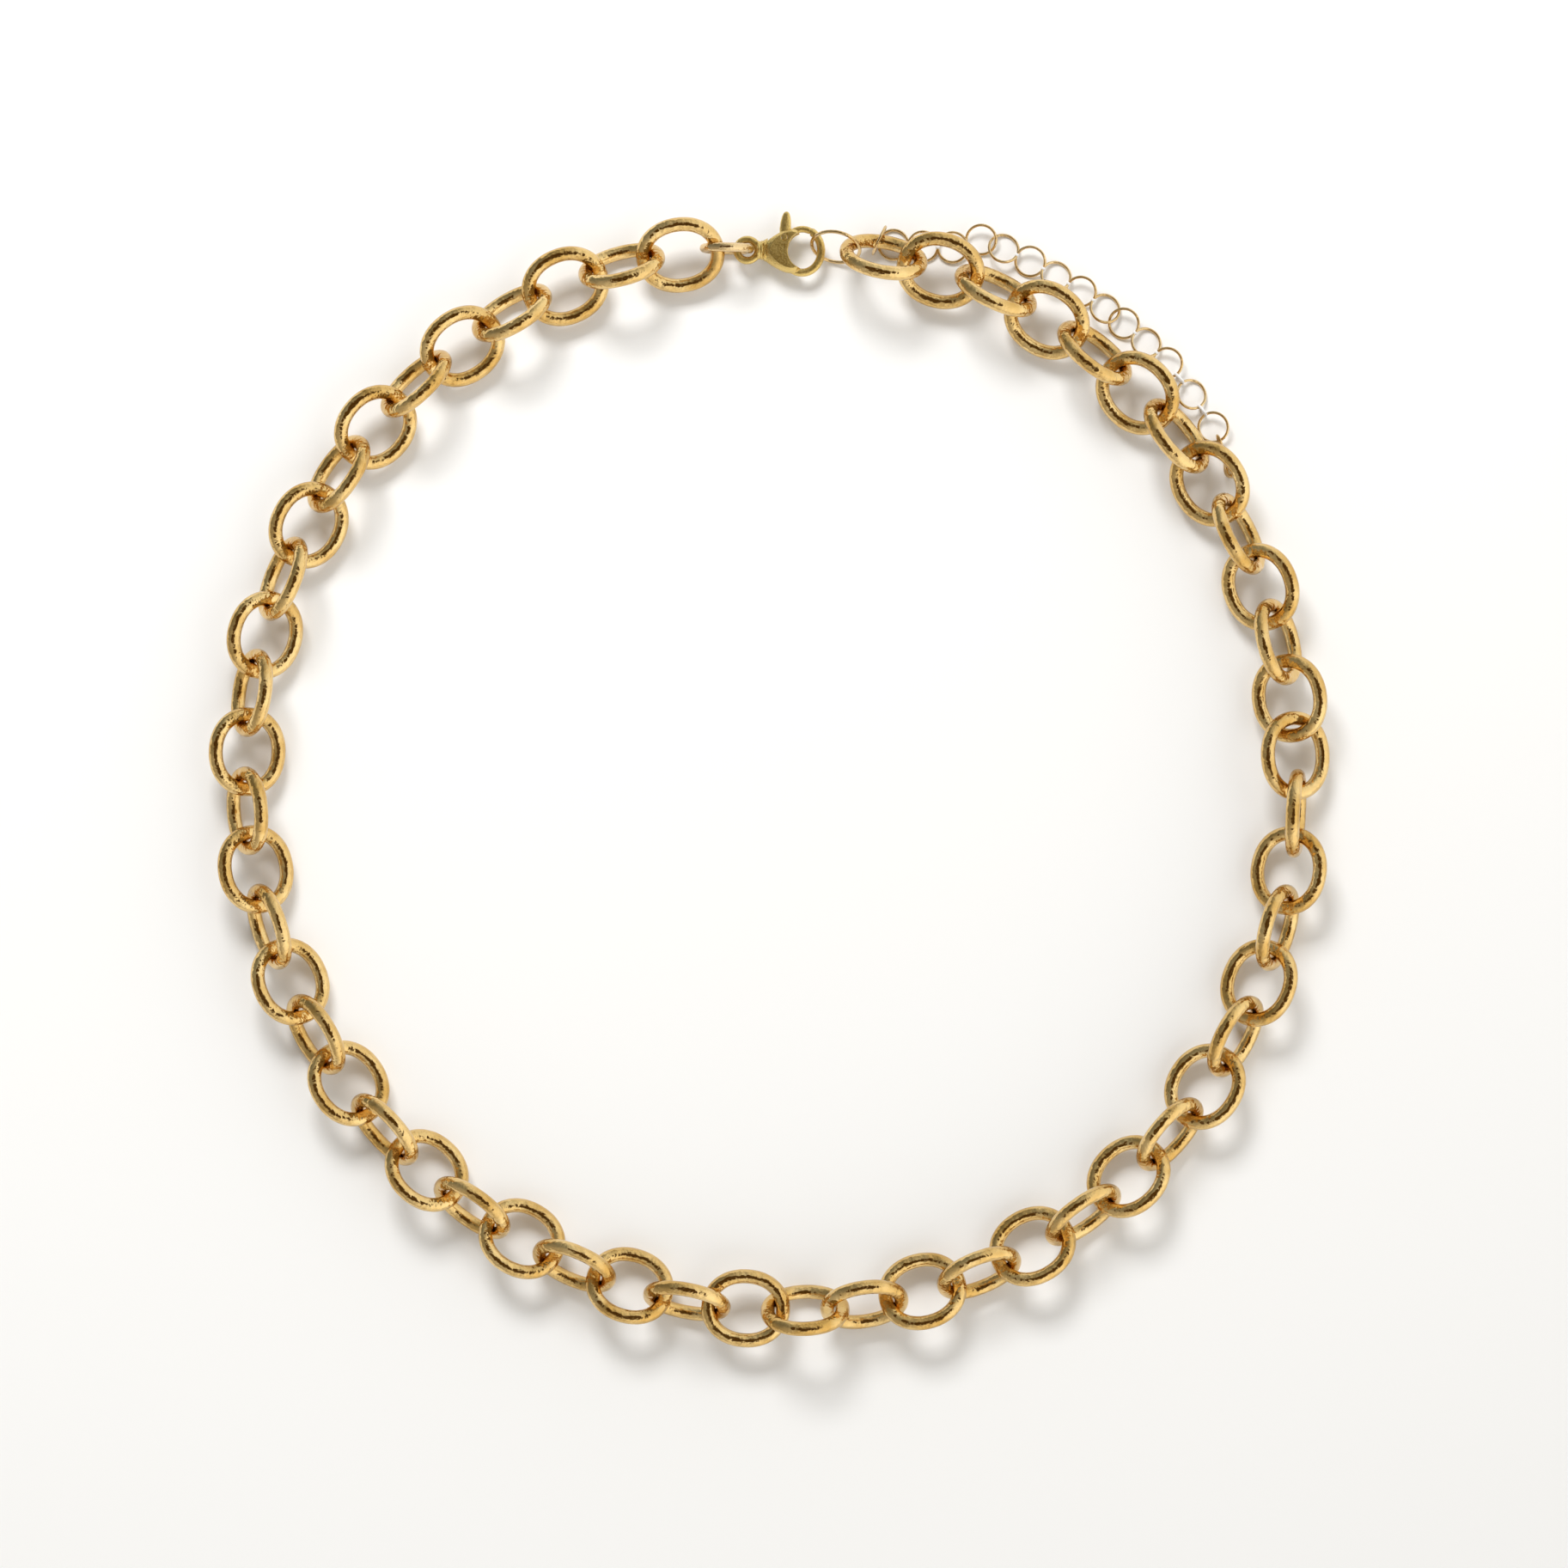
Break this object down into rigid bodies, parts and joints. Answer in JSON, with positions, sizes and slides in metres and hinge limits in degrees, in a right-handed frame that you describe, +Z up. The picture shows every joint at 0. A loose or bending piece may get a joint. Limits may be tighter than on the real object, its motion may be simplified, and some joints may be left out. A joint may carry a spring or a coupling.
{
  "type": "chain necklace",
  "caption": "Gold chain necklace of alternating oval cable links laid in a round loop, with a lobster clasp, catch ring, fine extender chain and teardrop end.",
  "frame": {"origin": "middle of the necklace's footprint, on the table it lies on", "axes": "+Z up from the table; +Y from the loop's middle to the clasp; +X to the side where the extender chain lies"},
  "size_m": [0.1541, 0.1567, 0.0106],
  "materials": {
    "polished_gold": "polished gold-tone plate with light brush marks",
    "fine_gold_wire": "bright pale gold-tone wire",
    "satin_gold": "satin, finely grained gold-tone casting",
    "spring_steel": "drawn steel wire"
  },
  "bodies": {
    "links_28_30": {"link_28": "polished_gold", "link_29": "polished_gold", "link_30": "polished_gold"},
    "links_24_27": {"link_27": "polished_gold", "link_26": "polished_gold", "link_25": "polished_gold", "link_24": "polished_gold"},
    "links_19_23": {"link_23": "polished_gold", "link_21_22": "polished_gold", "link_20": "polished_gold", "link_19": "polished_gold"},
    "links_15_18": {"link_18": "polished_gold", "link_17": "polished_gold", "link_16": "polished_gold", "link_15": "polished_gold"},
    "links_11_14": {"link_14": "polished_gold", "link_13": "polished_gold", "link_12": "polished_gold", "link_11": "polished_gold"},
    "links_06_10": {"link_10": "polished_gold", "link_09": "polished_gold", "link_07_08": "polished_gold", "link_06": "polished_gold"},
    "links_02_05": {"link_05": "polished_gold", "link_04": "polished_gold", "link_03": "polished_gold", "link_02": "polished_gold"},
    "link_01": {"link_01": "polished_gold"},
    "catch_ring": {"catch_ring": "fine_gold_wire"},
    "links_31_34": {"link_31": "polished_gold", "link_32": "polished_gold", "link_33": "polished_gold", "link_34": "polished_gold"},
    "links_35_39": {"link_35_36": "polished_gold", "link_37": "polished_gold", "link_38": "polished_gold", "link_39": "polished_gold"},
    "links_40_43": {"link_40": "polished_gold", "link_41": "polished_gold", "link_42": "polished_gold", "link_43": "polished_gold"},
    "links_44_47": {"link_44": "polished_gold", "link_45": "polished_gold", "link_46": "polished_gold", "link_47": "polished_gold"},
    "links_48_52": {"link_48": "polished_gold", "link_49_50": "polished_gold", "link_51": "polished_gold", "link_52": "polished_gold"},
    "links_53_54": {"link_53": "polished_gold", "link_54": "polished_gold"},
    "jump_ring": {"jump_ring": "fine_gold_wire"},
    "clasp": {"clasp_body": "satin_gold", "clasp_pivot_pin": "satin_gold", "trigger_spring": "spring_steel"},
    "trigger": {"clasp_trigger": "satin_gold"},
    "extender_1": {"extender_1": "fine_gold_wire"},
    "extender_2": {"extender_2": "fine_gold_wire"},
    "extender_3": {"extender_3": "fine_gold_wire"},
    "drop": {"drop": "fine_gold_wire"}
  },
  "joints": [
    {"name": "chain_draw", "type": "hinge", "parent": "links_28_30", "child": "links_24_27", "pos_m": [0.00138, -0.0733, 0.00453], "axis": [0, 0, 1], "range_deg": [0, 6]},
    {"name": "link_23_swing", "type": "hinge", "parent": "links_24_27", "child": "links_19_23", "pos_m": [0.03297, -0.06599, 0.00425], "axis": [0, 0, 1], "range_deg": [0, 2.66]},
    {"name": "link_18_swing", "type": "hinge", "parent": "links_19_23", "child": "links_15_18", "pos_m": [0.06203, -0.03832, 0.00423], "axis": [0, 0, 1], "range_deg": [-4.45, 0]},
    {"name": "link_14_swing", "type": "hinge", "parent": "links_15_18", "child": "links_11_14", "pos_m": [0.07142, -0.00795, 0.00454], "axis": [0, 0, 1], "range_deg": [-6.96, 0]},
    {"name": "link_10_swing", "type": "hinge", "parent": "links_11_14", "child": "links_06_10", "pos_m": [0.0678, 0.02329, 0.00428], "axis": [0, 0, 1], "range_deg": [-4.46, 0]},
    {"name": "link_05_swing", "type": "hinge", "parent": "links_06_10", "child": "links_02_05", "pos_m": [0.04622, 0.05616, 0.00425], "axis": [0, 0, 1], "range_deg": [0, 2.71]},
    {"name": "link_01_swing", "type": "hinge", "parent": "links_02_05", "child": "link_01", "pos_m": [0.01791, 0.07068, 0.00483], "axis": [0, 0, 1], "range_deg": [0, 6.54]},
    {"name": "catch_ring_swing", "type": "hinge", "parent": "link_01", "child": "catch_ring", "pos_m": [0.00872, 0.07251, 0.0023], "axis": [0, 0, 1], "range_deg": [0, 6.79]},
    {"name": "link_31_swing", "type": "hinge", "parent": "links_28_30", "child": "links_31_34", "pos_m": [-0.02253, -0.06909, 0.0043], "axis": [0, 0, 1], "range_deg": [-5.84, 0]},
    {"name": "link_35_36_swing", "type": "hinge", "parent": "links_31_34", "child": "links_35_39", "pos_m": [-0.04979, -0.05221, 0.00437], "axis": [0, 0, 1], "range_deg": [-1.22, 0]},
    {"name": "link_40_swing", "type": "hinge", "parent": "links_35_39", "child": "links_40_43", "pos_m": [-0.07004, -0.01787, 0.00438], "axis": [0, 0, 1], "range_deg": [0, 5.84]},
    {"name": "link_44_swing", "type": "hinge", "parent": "links_40_43", "child": "links_44_47", "pos_m": [-0.07109, 0.0143, 0.00434], "axis": [0, 0, 1], "range_deg": [0, 7.33]},
    {"name": "link_48_swing", "type": "hinge", "parent": "links_44_47", "child": "links_48_52", "pos_m": [-0.05798, 0.04385, 0.00426], "axis": [0, 0, 1], "range_deg": [0, 3.67]},
    {"name": "link_53_swing", "type": "hinge", "parent": "links_48_52", "child": "links_53_54", "pos_m": [-0.02586, 0.06836, 0.00424], "axis": [0, 0, 1], "range_deg": [-3.87, 0]},
    {"name": "jump_ring_swing", "type": "hinge", "parent": "links_53_54", "child": "jump_ring", "pos_m": [-0.00872, 0.07251, 0.00375], "axis": [0, 0, 1], "range_deg": [-6.04, 0]},
    {"name": "clasp_swing", "type": "hinge", "parent": "jump_ring", "child": "clasp", "pos_m": [-0.00478, 0.07251, 0.0023], "axis": [0, 0, 1], "range_deg": [-6.35, 0]},
    {"name": "trigger_pivot", "type": "hinge", "parent": "clasp", "child": "trigger", "pos_m": [0.00032, 0.07426, 0.0023], "axis": [0, 0, 1], "range_deg": [-30, 0], "stiffness_Nm_per_rad": 0.00002},
    {"name": "extender_swing", "type": "hinge", "parent": "link_01", "child": "extender_1", "pos_m": [0.0134, 0.07414, 0.00225], "axis": [0, 0, 1], "range_deg": [0, 25]},
    {"name": "extender_bend_1", "type": "hinge", "parent": "extender_1", "child": "extender_2", "pos_m": [0.02909, 0.07404, 0.00091], "axis": [0, 0, 1], "range_deg": [0, 15]},
    {"name": "extender_bend_2", "type": "hinge", "parent": "extender_2", "child": "extender_3", "pos_m": [0.04612, 0.06436, 0.00091], "axis": [0, 0, 1], "range_deg": [0, 15]},
    {"name": "drop_swing", "type": "hinge", "parent": "extender_3", "child": "drop", "pos_m": [0.06075, 0.04766, 0.0009], "axis": [0, 0, 1], "range_deg": [-20, 20]}
  ],
  "couplings": [
    {"joint": "link_23_swing", "follows": "chain_draw", "ratio": 0.41892},
    {"joint": "link_18_swing", "follows": "chain_draw", "ratio": -0.70267},
    {"joint": "link_14_swing", "follows": "chain_draw", "ratio": -1.1012},
    {"joint": "link_10_swing", "follows": "chain_draw", "ratio": -0.70472},
    {"joint": "link_05_swing", "follows": "chain_draw", "ratio": 0.42659},
    {"joint": "link_01_swing", "follows": "chain_draw", "ratio": 1.0353},
    {"joint": "catch_ring_swing", "follows": "chain_draw", "ratio": 1.0747},
    {"joint": "link_31_swing", "follows": "chain_draw", "ratio": -0.92433},
    {"joint": "link_35_36_swing", "follows": "chain_draw", "ratio": -0.19005},
    {"joint": "link_40_swing", "follows": "chain_draw", "ratio": 0.92396},
    {"joint": "link_44_swing", "follows": "chain_draw", "ratio": 1.1611},
    {"joint": "link_48_swing", "follows": "chain_draw", "ratio": 0.57966},
    {"joint": "link_53_swing", "follows": "chain_draw", "ratio": -0.61039},
    {"joint": "jump_ring_swing", "follows": "chain_draw", "ratio": -0.95631},
    {"joint": "clasp_swing", "follows": "chain_draw", "ratio": -1.0041}
  ]
}
